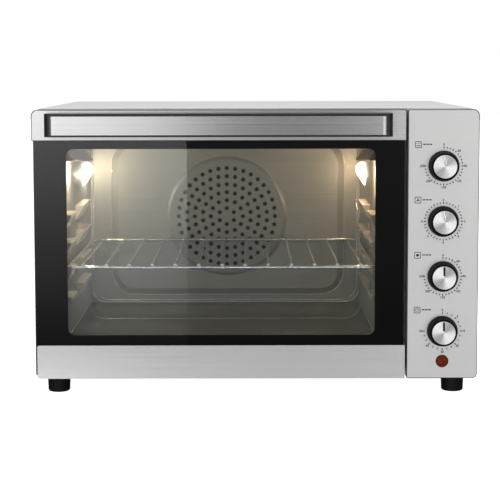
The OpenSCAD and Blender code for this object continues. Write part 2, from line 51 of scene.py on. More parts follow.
glass_lo, glass_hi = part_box("door_glass")
panel_lo, panel_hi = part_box("control_panel")
trim_lo, trim_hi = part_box("door_top_trim")
left_wall_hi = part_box("cavity_left_wall")[1]
right_wall_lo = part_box("cavity_right_wall")[0]
rear_lo, rear_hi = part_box("cavity_rear_wall")
pan_lo, pan_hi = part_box("cavity_floor_pan")
cover_lo, cover_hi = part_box("handle_cover")
core_lo, core_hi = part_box("handle_core")

Y_GLASS = glass_lo.y                 # front face of the door's glass
Y_PANEL = panel_lo.y                 # front face of the control panel
CAVITY_X = (left_wall_hi.x, right_wall_lo.x)
CAVITY_TOP = left_wall_hi.z
DIALS = ("upper_heat", "function", "lower_heat", "timer")


# ---------- node graphs ----------

def set_stops(ramp, stops):
    """Gives a colour ramp its stops: each is a position with a colour or a brightness."""
    elements = ramp.color_ramp.elements
    while len(elements) < len(stops):
        elements.new(0.5)
    for element, (position, colour) in zip(elements, stops):
        element.position = position
        element.color = (*colour, 1) if isinstance(colour, tuple) else (colour, colour, colour, 1)


class Graph:
    """A material and short calls that add nodes to it."""

    def __init__(self, name):
        self.material = bpy.data.materials.new(name)
        self.material.use_nodes = True
        self.tree = self.material.node_tree
        self.shader = self.tree.nodes["Principled BSDF"]
        self.coords = self.node("ShaderNodeTexCoord").outputs["Object"]

    def node(self, kind, **settings):
        made = self.tree.nodes.new(kind)
        for key, value in settings.items():
            setattr(made, key, value)
        return made

    def link(self, source, target):
        self.tree.links.new(source, target)

    def put(self, value, target):
        if isinstance(value, (int, float, tuple)):
            target.default_value = value
        else:
            self.link(value, target)

    def set(self, **values):
        for key, value in values.items():
            self.put(value, self.shader.inputs[key.replace("_", " ")])

    def math(self, operation, a, b=0.0):
        made = self.node("ShaderNodeMath", operation=operation)
        self.put(a, made.inputs[0])
        self.put(b, made.inputs[1])
        return made.outputs[0]

    def scaled(self, scale, offset=(0, 0, 0)):
        made = self.node("ShaderNodeMapping")
        self.link(self.coords, made.inputs["Vector"])
        made.inputs["Scale"].default_value = scale
        made.inputs["Location"].default_value = offset
        return made.outputs["Vector"]

    def noise(self, scale, detail=4.0):
        made = self.node("ShaderNodeTexNoise")
        self.link(self.scaled(scale), made.inputs["Vector"])
        made.inputs["Scale"].default_value = 1.0
        made.inputs["Detail"].default_value = detail
        made.inputs["Roughness"].default_value = 0.6
        return made.outputs["Fac"]

    def ramp(self, source, *stops):
        made = self.node("ShaderNodeValToRGB")
        set_stops(made, stops)
        self.link(source, made.inputs["Fac"])
        return made.outputs["Color"]

    def spread(self, source, low, high):
        made = self.node("ShaderNodeMapRange")
        self.link(source, made.inputs["Value"])
        made.inputs["To Min"].default_value = low
        made.inputs["To Max"].default_value = high
        return made.outputs["Result"]

    def bump(self, height, strength, distance):
        made = self.node("ShaderNodeBump")
        self.link(height, made.inputs["Height"])
        made.inputs["Strength"].default_value = strength
        made.inputs["Distance"].default_value = distance
        self.link(made.outputs["Normal"], self.shader.inputs["Normal"])


def grey(value, warmth=0.0):
    """A grey, with its red raised and its blue lowered by a share."""
    return (value * (1 + warmth), value, value * (1 - warmth))


def brushed_metal(name, colour, roughness, grain=0.06, metallic=1.0):
    """Metal or a satin coat with fine lines along x."""
    g = Graph(name)
    lines = g.noise((3, 900, 1400), detail=3)
    cloud = g.noise((6, 6, 6), detail=2)
    low = tuple(c * (1 - grain) for c in colour)
    high = tuple(min(1, c * (1 + grain)) for c in colour)
    g.set(Base_Color=g.ramp(lines, (0.3, low), (0.7, high)), Metallic=metallic,
          Roughness=g.math("ADD", g.spread(lines, roughness - 0.05, roughness + 0.06),
                           g.spread(cloud, -0.02, 0.02)))
    g.bump(lines, 0.08, 0.0002)
    return g.material


def sheet_metal(name, colour, roughness, metallic, speckle=0.05, specular=0.5):
    """Plain, coated or painted sheet with a faint cloud in its colour."""
    g = Graph(name)
    fine = g.noise((260, 260, 260), detail=5)
    cloud = g.noise((9, 9, 9), detail=3)
    low = tuple(c * (1 - speckle) for c in colour)
    high = tuple(min(1, c * (1 + speckle)) for c in colour)
    g.set(Base_Color=g.ramp(cloud, (0.3, low), (0.7, high)), Metallic=metallic,
          Roughness=g.spread(fine, roughness - 0.06, roughness + 0.06), Specular_IOR_Level=specular)
    g.bump(fine, 0.05, 0.0002)
    return g.material


def moulded_plastic(name, colour, roughness, grain=900, specular=0.5):
    """Plastic, rubber, ceramic or ink with a fine grain."""
    g = Graph(name)
    fine = g.noise((grain, grain, grain), detail=3)
    cloud = g.noise((20, 20, 20), detail=2)
    low = tuple(c * 0.85 for c in colour)
    high = tuple(c * 1.2 for c in colour)
    g.set(Base_Color=g.ramp(cloud, (0.3, low), (0.7, high)),
          Roughness=g.spread(fine, roughness - 0.08, roughness + 0.08), Specular_IOR_Level=specular)
    g.bump(fine, 0.15, 0.0001)
    return g.material


STEEL = brushed_metal("brushed_stainless", grey(0.60, 0.004), 0.24)
TRIM_STEEL = brushed_metal("trim_stainless", grey(0.66, 0.004), 0.28)
HANDLE_STEEL = brushed_metal("handle_stainless", grey(0.585, 0.004), 0.21)
PANEL_STEEL = brushed_metal("panel_stainless", grey(0.76, 0.004), 0.40, grain=0.03)
CASE_PAINT = sheet_metal("silver_case_paint", grey(0.76), 0.42, 0.35, 0.015)
ZINC = sheet_metal("zinc_sheet", grey(0.52), 0.40, 0.8, 0.12)
DARK_ZINC = sheet_metal("dark_zinc_sheet", grey(0.05), 0.5, 0.5, 0.12)
ENAMEL = brushed_metal("cavity_coating", (0.445, 0.452, 0.452), 0.50, 0.10, 0.5)
FAN_COAT = brushed_metal("fan_cover_coating", (0.375, 0.385, 0.385), 0.50, 0.10, 0.5)
FLOOR_COAT = brushed_metal("cavity_floor_coating", (0.175, 0.182, 0.187), 0.58, 0.10, 0.3)
GUIDE = sheet_metal("guide_coating", (0.74, 0.68, 0.59), 0.25, 0.4, 0.06)
HOOD = sheet_metal("hood_coating", (0.22, 0.155, 0.10), 0.4, 0.5, 0.1)
SEAM = sheet_metal("pressed_edge", (0.90, 0.90, 0.88), 0.24, 0.75, 0.05)
WELD = sheet_metal("weld_metal", grey(0.92), 0.35, 0.2, 0.05)
CHROME = sheet_metal("rack_chrome", grey(0.88), 0.20, 0.92, 0.03)
HEATER = sheet_metal("heater_sheath", (0.12, 0.11, 0.10), 0.5, 0.7, 0.2)
CERAMIC = moulded_plastic("white_ceramic", (0.78, 0.75, 0.68), 0.6, 500)
BLACK = moulded_plastic("black_plastic", grey(0.012), 0.34)
KNOB_BLACK = moulded_plastic("knob_black", grey(0.004), 0.55, specular=0.06)
FRAME_BLACK = sheet_metal("black_frame_paint", grey(0.010), 0.4, 0.0, 0.2)
PRINT_BLACK = sheet_metal("black_glass_print", grey(0.002), 0.5, 0.0, 0.3, 0.0)
INK = moulded_plastic("dial_ink", grey(0.006), 0.6, 700, 0.05)
# painted shadow for the thin dark line round folded sheet edges
EDGE_SHADOW_PAINT = moulded_plastic("painted_edge_shadow", grey(0.07), 0.6, 700, 0.2)
HOLDER = sheet_metal("indicator_ring", (0.075, 0.030, 0.020), 0.4, 0.3, 0.1, 0.2)
RUBBER = moulded_plastic("black_rubber", grey(0.005), 0.6, 600, 0.25)


def spun_metal():
    """Bare metal turned on a lathe. Its light and dark wedges, which run from the middle to the rim, are a
    painted highlight and painted shade in its colour.
    """
    g = Graph("spun_metal")
    g.coords = g.node("ShaderNodeTexCoord").outputs["Generated"]
    cloud = g.noise((60, 60, 60), detail=2)
    parts = g.node("ShaderNodeSeparateXYZ")
    g.link(g.scaled((1, 1, 1), (-0.5, 0, -0.5)), parts.inputs[0])
    # painted highlight and painted shade: the colour goes light and dark twice round the axis
    around = g.math("ARCTAN2", parts.outputs["X"], parts.outputs["Z"])
    start = math.radians(110)
    painted_light_angle = g.math("ADD", g.math("MULTIPLY", around, 2.0), start)
    painted_highlight = g.math("ADD", g.math("MULTIPLY", g.math("COSINE", painted_light_angle), 0.5), 0.5)
    g.set(Base_Color=g.ramp(painted_highlight, (0.0, grey(0.52)), (0.45, grey(0.80)), (1.0, grey(0.97))), Metallic=1.0,
          Roughness=g.spread(cloud, 0.24, 0.28), Anisotropic=0.9)
    around_y = g.node("ShaderNodeTangent", direction_type="RADIAL", axis="Y")
    g.link(around_y.outputs["Tangent"], g.shader.inputs["Tangent"])
    return g.material


SPUN = spun_metal()


def clear_glass(name, tint):
    """Thin glass that doesn't bend the view. Both faces reflect as a face seen from the air does."""
    g = Graph(name)
    smear = g.noise((12, 12, 12), detail=3)
    g.tree.nodes.remove(g.shader)
    see = g.node("ShaderNodeBsdfTransparent")
    see.inputs["Color"].default_value = (*tint, 1)
    gloss = g.node("ShaderNodeBsdfGlossy")
    g.link(g.spread(smear, 0.0, 0.004), gloss.inputs["Roughness"])
    fresnel = g.node("ShaderNodeFresnel")
    behind = g.node("ShaderNodeNewGeometry").outputs["Backfacing"]
    ior = 1.62
    g.link(g.math("ADD", g.math("MULTIPLY", behind, 1 / ior - ior), ior), fresnel.inputs["IOR"])
    both = g.node("ShaderNodeMixShader")
    g.link(fresnel.outputs[0], both.inputs[0])
    g.link(see.outputs[0], both.inputs[1])
    g.link(gloss.outputs[0], both.inputs[2])
    g.link(both.outputs[0], g.tree.nodes["Material Output"].inputs["Surface"])
    return g.material


GLASS = clear_glass("door_glass", (0.90, 0.92, 0.92))


def glow(name, colour, strength, edge, clear=0.0):
    """A surface that lights up. Its clear share lets the light from behind it through."""
    g = Graph(name)
    facing = g.node("ShaderNodeLayerWeight").outputs["Facing"]
    g.set(Base_Color=(*colour, 1), Roughness=g.spread(g.noise((200, 200, 200)), 0.2, 0.35),
          Emission_Color=g.ramp(facing, (0.0, colour), (1.0, edge)), Emission_Strength=strength)
    if clear:
        both = g.node("ShaderNodeMixShader")
        both.inputs[0].default_value = clear
        g.link(g.shader.outputs[0], both.inputs[1])
        g.link(g.node("ShaderNodeBsdfTransparent").outputs[0], both.inputs[2])
        g.link(both.outputs[0], g.tree.nodes["Material Output"].inputs["Surface"])
    return g.material


LAMP = glow("lit_lamp_glass", (1.0, 0.93, 0.78), 9.0, (1.0, 0.80, 0.52), 0.8)
BULB = glow("lit_bulb", (1.0, 0.90, 0.70), 9.0, (1.0, 0.8, 0.5))


def red_lens():
    """The indicator's lens, cut into small facets behind its face."""
    g = Graph("dark_red_lens")
    cells = g.node("ShaderNodeTexVoronoi")
    g.link(g.scaled((420, 420, 420)), cells.inputs["Vector"])
    cells.inputs["Scale"].default_value = 1.0
    facets = cells.outputs["Distance"]
    g.set(Base_Color=g.ramp(facets, (0.0, (0.32, 0.050, 0.015)), (0.8, (0.13, 0.018, 0.007))),
          Roughness=g.spread(facets, 0.25, 0.4), Specular_IOR_Level=0.08)
    g.bump(facets, 0.3, 0.0004)
    return g.material


RED_LENS = red_lens()


# ---------- CAD nodes ----------

def soften(piece, bevel):
    """Rounds a piece's edges so that they catch the light."""
    weld = piece.modifiers.new("weld", "WELD")
    weld.merge_threshold = 0.01 * MM
    edges = piece.modifiers.new("bevel", "BEVEL")
    edges.width = bevel
    edges.segments = 3
    edges.limit_method = "ANGLE"
    edges.angle_limit = math.radians(35)
    edges.use_clamp_overlap = True
    edges.harden_normals = True


def dress(node, material, bevel):
    """Gives a CAD node its material and soft edges."""
    piece = NODES[node]
    piece.data.materials.clear()
    piece.data.materials.append(material)
    if bevel:
        soften(piece, bevel)


# the material of each CAD node, and the width in metres of its softened edges
FINISHES = {
    "casing_wrap": (CASE_PAINT, 0.0004), "base_plate": (ZINC, 0), "rear_cover": (ZINC, 0),
    "front_frame": (ZINC, 0), "door_seal": (RUBBER, 0.0008),
    "cavity_floor_pan": (FLOOR_COAT, 0), "cavity_ceiling": (ENAMEL, 0), "cavity_left_wall": (ENAMEL, 0),
    "cavity_right_wall": (ENAMEL, 0), "cavity_rear_wall": (ENAMEL, 0),
    "rack_guides_left": (GUIDE, 0.0012), "rack_guides_right": (GUIDE, 0.0012),
    "fan_cover": (FAN_COAT, 0), "fan_pan": (DARK_ZINC, 0), "fan_motor": (ZINC, 0.0006),
    "convection_fan": (DARK_ZINC, 0),
    "upper_heaters": (HEATER, 0), "lower_heaters": (HEATER, 0), "heater_insulators": (CERAMIC, 0.0005),
    "lamp_holders": (CERAMIC, 0.0005), "lamp_bulbs": (BULB, 0), "lamp_covers": (LAMP, 0),
    "lamp_hoods": (HOOD, 0.001),
    "spit_motor": (ZINC, 0.0006), "spit_drive": (STEEL, 0.0003), "spit_rest": (GUIDE, 0.0004),
    "thermostat_probe": (STEEL, 0), "control_panel": (PANEL_STEEL, 0.0009),
    "upper_heat_switch": (CERAMIC, 0.0006), "function_switch": (BLACK, 0.0006),
    "lower_heat_switch": (CERAMIC, 0.0006), "timer_switch": (BLACK, 0.0006),
    "indicator_holder": (HOLDER, 0.0002), "indicator_lens": (RED_LENS, 0),
    "feet": (RUBBER, 0.0006), "cord_gland": (BLACK, 0.0004), "rear_spacers": (BLACK, 0.0006),
    "case_screws": (ZINC, 0.0002), "hinge_brackets": (ZINC, 0.0003),
    "door_glass": (GLASS, 0), "door_inner_frame": (FRAME_BLACK, 0), "door_inner_glass": (GLASS, 0),
    "door_top_trim": (TRIM_STEEL, 0.0012), "door_bottom_trim": (STEEL, 0.0007),
    "door_hinge_barrels": (ZINC, 0.0004), "handle_core": (BLACK, 0.0015), "wire_rack": (CHROME, 0),
}
for dial in DIALS:
    FINISHES[dial + "_knob"] = (KNOB_BLACK, 0.0004)
    FINISHES[dial + "_cap"] = (SPUN, 0.0002)
    FINISHES[dial + "_shaft"] = (ZINC, 0)
for node, (finish, bevel) in FINISHES.items():
    dress(node, finish, bevel)


# ---------- shapes ----------

CORNER_STEPS = 8
TUBE_SIDES = 10


def corner(x, z, r, start):
    """Points of a quarter circle about (x, z), counted from an angle in degrees."""
    angles = [math.radians(start + 90 * i / CORNER_STEPS) for i in range(CORNER_STEPS + 1)]
    return [(x + r * math.cos(a), z + r * math.sin(a)) for a in angles]


def rounded(x0, x1, z0, z1, r):
    """Outline of a rectangle with round corners, seen from the front. One radius or four, which
    start at the upper right corner and go on to the upper left."""
    a, b, c, d = r if isinstance(r, tuple) else (r,) * 4
    return (corner(x1 - a, z1 - a, a, 0) + corner(x0 + b, z1 - b, b, 90)
            + corner(x0 + c, z0 + c, c, 180) + corner(x1 - d, z0 + d, d, 270))


def add_frame(bm, outer, inner, y0, y1):
    """A flat ring between two outlines that have the same number of points."""
    rings = [[bm.verts.new((x, y, z)) for x, z in line] for line, y in
             ((outer, y0), (inner, y0), (inner, y1), (outer, y1))]
    count = len(outer)
    for i in range(count):
        j = (i + 1) % count
        for k in range(4):
            a, b = rings[k], rings[(k + 1) % 4]
            bm.faces.new((a[i], a[j], b[j], b[i]))


def add_prism(bm, near, far):
    """A closed solid between two outlines that have the same number of points."""
    near = [bm.verts.new(p) for p in near]
    far = [bm.verts.new(p) for p in far]
    bm.faces.new(near)
    bm.faces.new(far[::-1])
    for i in range(len(near)):
        j = (i + 1) % len(near)
        bm.faces.new((near[i], far[i], far[j], near[j]))


def add_plate(bm, line, y0, y1):
    """A closed plate from an outline in x and z."""
    add_prism(bm, [(x, y0, z) for x, z in line], [(x, y1, z) for x, z in line])


def add_bar(bm, x, z, w, h, turn, y0, y1):
    """A thin printed bar about (x, z), turned clockwise by an angle in radians."""
    c, s = math.cos(turn), math.sin(turn)
    line = [(x + c * u + s * v, z - s * u + c * v)
            for u, v in ((-w / 2, -h / 2), (w / 2, -h / 2), (w / 2, h / 2), (-w / 2, h / 2))]
    add_plate(bm, line, y0, y1)


def add_tube(bm, path, r, closed=False):
    """A round wire along a path of points."""
    path = [Vector(p) for p in path]
    rings = []
    for i, p in enumerate(path):
        if closed:
            ahead, behind = path[(i + 1) % len(path)], path[i - 1]
        else:
            ahead, behind = path[min(i + 1, len(path) - 1)], path[max(i - 1, 0)]
        along = (ahead - behind).normalized()
        side = along.cross(Vector((0, 1, 0)))
        if side.length < 0.1:
            side = along.cross(Vector((0, 0, 1)))
        side.normalize()
        up = side.cross(along)
        turns = [2 * math.pi * k / TUBE_SIDES for k in range(TUBE_SIDES)]
        rings.append([bm.verts.new(p + r * (math.cos(t) * side + math.sin(t) * up)) for t in turns])
    last = len(rings) if closed else len(rings) - 1
    for i in range(last):
        a, b = rings[i], rings[(i + 1) % len(rings)]
        for k in range(TUBE_SIDES):
            m = (k + 1) % TUBE_SIDES
            bm.faces.new((a[k], a[m], b[m], b[k]))
    if not closed:
        bm.faces.new(rings[0][::-1])
        bm.faces.new(rings[-1])


def add_text(bm, text, x, z, size, y0, thick):
    """Numbers as thin solid print, centred on (x, z)."""
    curve = bpy.data.curves.new("print", "FONT")
    curve.body = text
    curve.size = size
    curve.align_x = "CENTER"
    curve.align_y = "CENTER"
    curve.extrude = thick / 2
    curve.offset = 0.12 * MM
    curve.resolution_u = 3
    holder = bpy.data.objects.new("print", curve)
    mesh = bpy.data.meshes.new_from_object(holder)
    stand = Matrix.Translation((x, y0, z)) @ Matrix.Rotation(math.radians(90), 4, "X")
    mesh.transform(stand)
    bm.from_mesh(mesh)
    bpy.data.objects.remove(holder)
    bpy.data.curves.remove(curve)
    bpy.data.meshes.remove(mesh)


def finish_piece(name, bm, body, material, bevel=0.0, smooth=False):
    """Turns a bmesh into a piece that rides on a body."""
    bmesh.ops.recalc_face_normals(bm, faces=bm.faces)
    mesh = bpy.data.meshes.new(name)
    bm.to_mesh(mesh)
    bm.free()
    mesh.materials.append(material)
    for face in mesh.polygons:
        face.use_smooth = smooth
    piece = bpy.data.objects.new(name, mesh)
    bpy.context.scene.collection.objects.link(piece)
    if bevel:
        soften(piece, bevel)
    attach(piece, body)
    return piece


# ---------- door ----------

# the clear window inside the glass's printed border
WINDOW_X = (glass_lo.x + 52.2 * MM, glass_hi.x - 46.6 * MM)
WINDOW_Z = (trim_lo.z - 307.7 * MM, trim_lo.z - 13 * MM)


def glass_print():
    """The black print behind the outer glass, all round the window."""
    edge = 0.6 * MM
    lo, hi = glass_lo + Vector((edge, 0, edge)), glass_hi - Vector((edge, 0, edge))
    y = glass_hi.y - 0.3 * MM
    bm = bmesh.new()
    add_frame(bm, rounded(lo.x, hi.x, lo.z, hi.z, 2 * MM), rounded(*WINDOW_X, *WINDOW_Z, 11 * MM),
              y, y + 0.15 * MM)
    finish_piece("glass_print", bm, "door", PRINT_BLACK)


def handle_face():
    """The handle's brushed cover, with both ends rolled back to the black bar."""
    r = 14 * MM
    roll = math.radians(26)
    left_gap, right_gap = 9.8 * MM, 10.3 * MM
    x0, x1 = core_lo.x + left_gap, core_hi.x - right_gap
    turns = [roll * i / CORNER_STEPS for i in range(CORNER_STEPS + 1)]
    curl = [(r * (math.sin(roll) - math.sin(t)), r * (1 - math.cos(t))) for t in turns]
    left = [(x0 + along, cover_lo.y + back) for along, back in reversed(curl)]
    right = [(x1 - along, cover_lo.y + back) for along, back in curl]
    line = left + right
    bm = bmesh.new()
    add_prism(bm, [(x, y, cover_lo.z) for x, y in line], [(x, y, cover_hi.z) for x, y in line])
    piece = finish_piece("handle_face", bm, "door", HANDLE_STEEL, 0.7 * MM)
    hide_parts("handle_cover")


glass_print()
handle_face()


# ---------- control panel ----------

def printed(name, draw):
    """Print on the control panel, drawn by a function that gets a bmesh and the print's two depths."""
    proud, sunk = 0.06 * MM, 0.05 * MM
    bm = bmesh.new()
    draw(bm, Y_PANEL - proud, Y_PANEL + sunk)
    finish_piece(name, bm, "case", INK)


def dial_centre(dial):
    """The x and z of a knob's axis."""
    lo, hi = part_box(dial + "_cap")
    return (lo.x + hi.x) / 2, (lo.z + hi.z) / 2


def dial_marks(dial, ticks, sweep, labels, dotted):
    """Marks round a knob from 12 o'clock over a sweep in degrees, with numbers outside them."""
    cx, cz = dial_centre(dial)
    ring, outside = 29.2 * MM, 33.6 * MM
    dot, bar, long_bar, short_bar, letter = 1.05 * MM, 1.4 * MM, 3.4 * MM, 2.4 * MM, 5.1 * MM

    def draw(bm, y0, y1):
        for i in range(ticks):
            turn = math.radians(sweep * i / (ticks - 1))
            x, z = cx + ring * math.sin(turn), cz + ring * math.cos(turn)
            if dotted and i % 3:
                add_plate(bm, rounded(x - dot, x + dot, z - dot, z + dot, 0.9 * dot), y0, y1)
            else:
                add_bar(bm, x, z, bar, short_bar if i % 3 else long_bar, turn, y0, y1)
        for i, text in enumerate(labels):
            turn = math.radians(LABEL_STEP * i)
            x, z = cx + outside * math.sin(turn), cz + outside * math.cos(turn)
            add_text(bm, text, x, z, letter, (y0 + y1) / 2, y1 - y0)

    printed(dial + "_marks", draw)


LABEL_STEP = 45                      # degrees from one number to the next
HEAT_LABELS = ("0", "60", "90", "120", "150", "200", "250")
dial_marks("upper_heat", 28, 270, HEAT_LABELS, True)
dial_marks("function", 36, 350, ("0", "1", "2", "3", "4", "5", "6"), True)
dial_marks("lower_heat", 28, 270, HEAT_LABELS, True)
dial_marks("timer", 19, 270, ("0", "5", "10", "20", "30", "45", "60"), False)


def pictogram(dial, glyph):
    """A rounded square with a simple sign in it and three short dashes beside it, above a knob's left."""
    cx, cz = dial_centre(dial)
    x, z = cx - 40 * MM, cz + 33.5 * MM
    half, line = 5.2 * MM, 0.95 * MM
    inner = half - line
    first_dash, dash_step = 9.5 * MM, 5.0 * MM

    def draw(bm, y0, y1):
        add_frame(bm, rounded(x - half, x + half, z - half, z + half, 1.8 * MM),
                  rounded(x - inner, x + inner, z - inner, z + inner, 1.2 * MM), y0, y1)
        glyph(bm, x, z, y0, y1)
        for i in range(3):
            add_bar(bm, x + first_dash + dash_step * i, z + 0.5 * MM, 4.0 * MM, 1.8 * MM, 0, y0, y1)

    printed(dial + "_sign", draw)


def heat_sign(bm, x, z, y0, y1):
    """Three dots above a bar."""
    for i in range(3):
        add_bar(bm, x + (i - 1) * 2.4 * MM, z + 2.2 * MM, 1.4 * MM, 1.0 * MM, 0, y0, y1)
    add_bar(bm, x, z - 1.8 * MM, 6.4 * MM, 1.2 * MM, 0, y0, y1)


def fan_sign(bm, x, z, y0, y1):
    """Three blades."""
    reach = 1.6 * MM
    for i in range(3):
        turn = math.radians(120 * i)
        blade_x, blade_z = x + reach * math.sin(turn), z + reach * math.cos(turn)
        add_bar(bm, blade_x, blade_z, 1.5 * MM, 2.8 * MM, turn, y0, y1)


def dot_sign(bm, x, z, y0, y1):
    """One large dot."""
    r = 2.2 * MM
    add_plate(bm, rounded(x - r, x + r, z - r, z + r, 2.1 * MM), y0, y1)


def clock_sign(bm, x, z, y0, y1):
    """A clock's face with two hands."""
    r, inner = 3.2 * MM, 2.5 * MM
    add_frame(bm, rounded(x - r, x + r, z - r, z + r, 3.1 * MM),
              rounded(x - inner, x + inner, z - inner, z + inner, 2.4 * MM), y0, y1)
    add_bar(bm, x, z + 1.0 * MM, 0.6 * MM, 2.0 * MM, 0, y0, y1)
    add_bar(bm, x + 0.8 * MM, z, 1.6 * MM, 0.6 * MM, 0, y0, y1)


pictogram("upper_heat", heat_sign)
pictogram("function", fan_sign)
pictogram("lower_heat", dot_sign)
pictogram("timer", clock_sign)


def pointer(dial, material):
    """The line on a knob's disc that shows its setting."""
    lo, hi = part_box(dial + "_cap")
    cx, cz = dial_centre(dial)
    radius = (hi.x - lo.x) / 2
    margin, width, length = 1.5 * MM, 3.0 * MM, 0.75 * radius
    middle = cz + radius - margin - length / 2
    proud, sunk = 0.08 * MM, 0.3 * MM
    bm = bmesh.new()
    add_bar(bm, cx, middle, width, length, 0, lo.y - proud, lo.y + sunk)
    finish_piece(dial + "_pointer", bm, dial, material)


for dial in DIALS:
    pointer(dial, INK if dial in ("lower_heat", "timer") else SPUN)


# ---------- cavity ----------

def rack_welds():
    """The flattened ends of the rack's bars, welded to the front wire."""
    lo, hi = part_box("wire_rack")
    bar_tops = [v.co for v in NODES["wire_rack"].data.vertices if v.co.z > hi.z - 0.05 * MM]
    places = sorted({round(top.x, 4) for top in bar_tops if top.y < lo.y + 10 * MM})
    flat = 0.9
    inset = 2.6 * MM
    bm = bmesh.new()
    for x in places:
        ball = bmesh.ops.create_icosphere(bm, subdivisions=2, radius=2.9 * MM)
        for v in ball["verts"]:
            v.co = Vector((x + v.co.x, lo.y + inset + v.co.y, hi.z - inset + v.co.z * flat))
    return finish_piece("rack_welds", bm, "rack", WELD, smooth=True)


def cavity_seams():
    """Raised beads round the rear wall and its pressed pad, and along the floor pan's edges."""
    wall = 0.8 * MM
    x0, x1 = CAVITY_X
    seam_z = pan_hi.z
    rear_y = rear_hi.y - wall
    cove = seam_z - pan_lo.z - wall
    bend, pad_bend = 28 * MM, 43 * MM
    bead, pad_bead, pan_bead = 0.9 * MM, 0.8 * MM, 0.7 * MM
    bm = bmesh.new()
    for inset in (wall, 5.0 * MM):
        left, right = x0 + inset, x1 - inset
        low = seam_z + inset - wall
        arc_left = corner(left + bend, low + bend, bend, 180)
        arc_right = corner(right - bend, low + bend, bend, 270)
        line = [(left, CAVITY_TOP)] + arc_left + arc_right + [(right, CAVITY_TOP)]
        add_tube(bm, [(x, rear_y - 0.3 * MM, z) for x, z in line], bead)
    line = corner(x0 + cove, seam_z, cove, 180) + corner(x1 - cove, seam_z, cove, 270)
    add_tube(bm, [(x, rear_y - cove, z) for x, z in line], pan_bead)
    for x in (x0, x1):
        add_tube(bm, [(x, Y_GLASS + 40 * MM, seam_z), (x, rear_y - 2 * MM, seam_z)], pan_bead)
    pad_x = (x0 + 39.5 * MM, x1 - 30 * MM)
    pad_z = (rear_lo.z + 14.5 * MM, CAVITY_TOP - 29 * MM)
    pad = rounded(*pad_x, *pad_z, pad_bend)
    add_tube(bm, [(x, rear_y, z) for x, z in pad], pad_bead, closed=True)
    finish_piece("cavity_seams", bm, "case", SEAM, smooth=True)


rack_dots = rack_welds()
cavity_seams()


# ---------- painted edge shadows ---

def painted_edge_shadow(name, body, lo, hi, radii):
    """A painted shadow: a thin dark line round a front sheet's folded edge. The corner radii are in
    millimetres.
    """
    line, depth = 1.1 * MM, 0.6 * MM
    y = lo.y - 0.03 * MM
    outer = tuple(r * MM for r in radii)
    inner = tuple(r * MM - line / 2 for r in radii)
    bm = bmesh.new()
    add_frame(bm, rounded(lo.x, hi.x, lo.z, hi.z, outer),
              rounded(lo.x + line, hi.x - line, lo.z + line, hi.z - line, inner), y, y + depth)
    finish_piece(name, bm, body, EDGE_SHADOW_PAINT)


painted_edge_shadow("panel_edge_shadow", "case", panel_lo, panel_hi, (10, 2, 2, 7))
painted_edge_shadow("trim_edge_shadow", "door", trim_lo, trim_hi, (2, 10, 1, 1))


# ---------- camera, floor and light ----------

def camera():
    """The photograph's view, found by fitting the oven's edges to it."""
    data = bpy.data.cameras.new("camera")
    data.sensor_width = 36.0
    data.lens = 103.81
    data.shift_x = -0.0037
    data.shift_y = -0.1169
    data.clip_end = 50
    made = bpy.data.objects.new("camera", data)
    distance, rise = 2250 * MM, 63 * MM
    made.location = (-8.6 * MM, Y_GLASS - distance, panel_hi.z + rise)
    tilt, roll, pan = 4.857, 0.087, -0.08
    made.rotation_euler = (math.radians(90 - tilt), math.radians(roll), math.radians(pan))
    bpy.context.scene.collection.objects.link(made)
    bpy.context.scene.camera = made


def place_light(name, data, place, target=None):
    """Adds a light that the camera doesn't see, and turns it to its target."""
    made = bpy.data.objects.new(name, data)
    made.location = place
    if target:
        made.rotation_euler = (Vector(target) - Vector(place)).to_track_quat("-Z", "Y").to_euler()
    made.visible_camera = False
    bpy.context.scene.collection.objects.link(made)
    return made


EVEN = ((0.0, 1.0), (1.0, 1.0))


def area(name, place, size, radiance, target, turn=0.0, up=EVEN, across=EVEN):
    """A rectangular soft light whose face looks as bright as the radiance says. It is turned in its own
    plane by an angle in degrees, and its brightness can change along its height and its width."""
    data = bpy.data.lights.new(name, "AREA")
    data.shape = "RECTANGLE"
    data.size, data.size_y = size
    data.energy = radiance * math.pi * size[0] * size[1]
    made = place_light(name, data, place, target)
    made.rotation_euler.rotate_axis("Z", math.radians(turn))
    data.use_nodes = True
    tree = data.node_tree
    parts = tree.nodes.new("ShaderNodeSeparateXYZ")
    tree.links.new(tree.nodes.new("ShaderNodeNewGeometry").outputs["Parametric"], parts.inputs[0])
    product = tree.nodes.new("ShaderNodeMath")
    product.operation = "MULTIPLY"
    for side, (axis, stops) in enumerate((("X", across), ("Y", up))):
        ramp = tree.nodes.new("ShaderNodeValToRGB")
        set_stops(ramp, stops)
        tree.links.new(parts.outputs[axis], ramp.inputs["Fac"])
        tree.links.new(ramp.outputs["Color"], product.inputs[side])
    tree.links.new(product.outputs[0], tree.nodes["Emission"].inputs["Strength"])
    return made


def front_softbox(name, x, z, size, radiance, turn=0.0, up=EVEN, across=EVEN):
    """A softbox that faces the front of the oven, in one plane with the others."""
    distance = 3.0
    return area(name, (x, Y_GLASS - distance, z), size, radiance, (x, 0, z), turn, up, across)


def spare(light, nodes):
    """Keeps a light off some nodes."""
    group = bpy.data.collections.new(light.name + "_off")
    for node in nodes:
        group.objects.link(NODES[node])
    light.light_linking.receiver_collection = group
    for item in group.collection_objects:
        item.light_linking.link_state = "EXCLUDE"


def only(light, pieces):
    """Keeps a light to some pieces."""
    group = bpy.data.collections.new(light.name + "_on")
    for piece in pieces:
        group.objects.link(piece)
    light.light_linking.receiver_collection = group


def lamp_light(name, place, power, colour):
    """A small light inside the cavity."""
    data = bpy.data.lights.new(name, "POINT")
    data.energy = power
    data.shadow_soft_size = 0.006
    data.color = colour
    return place_light(name, data, place)


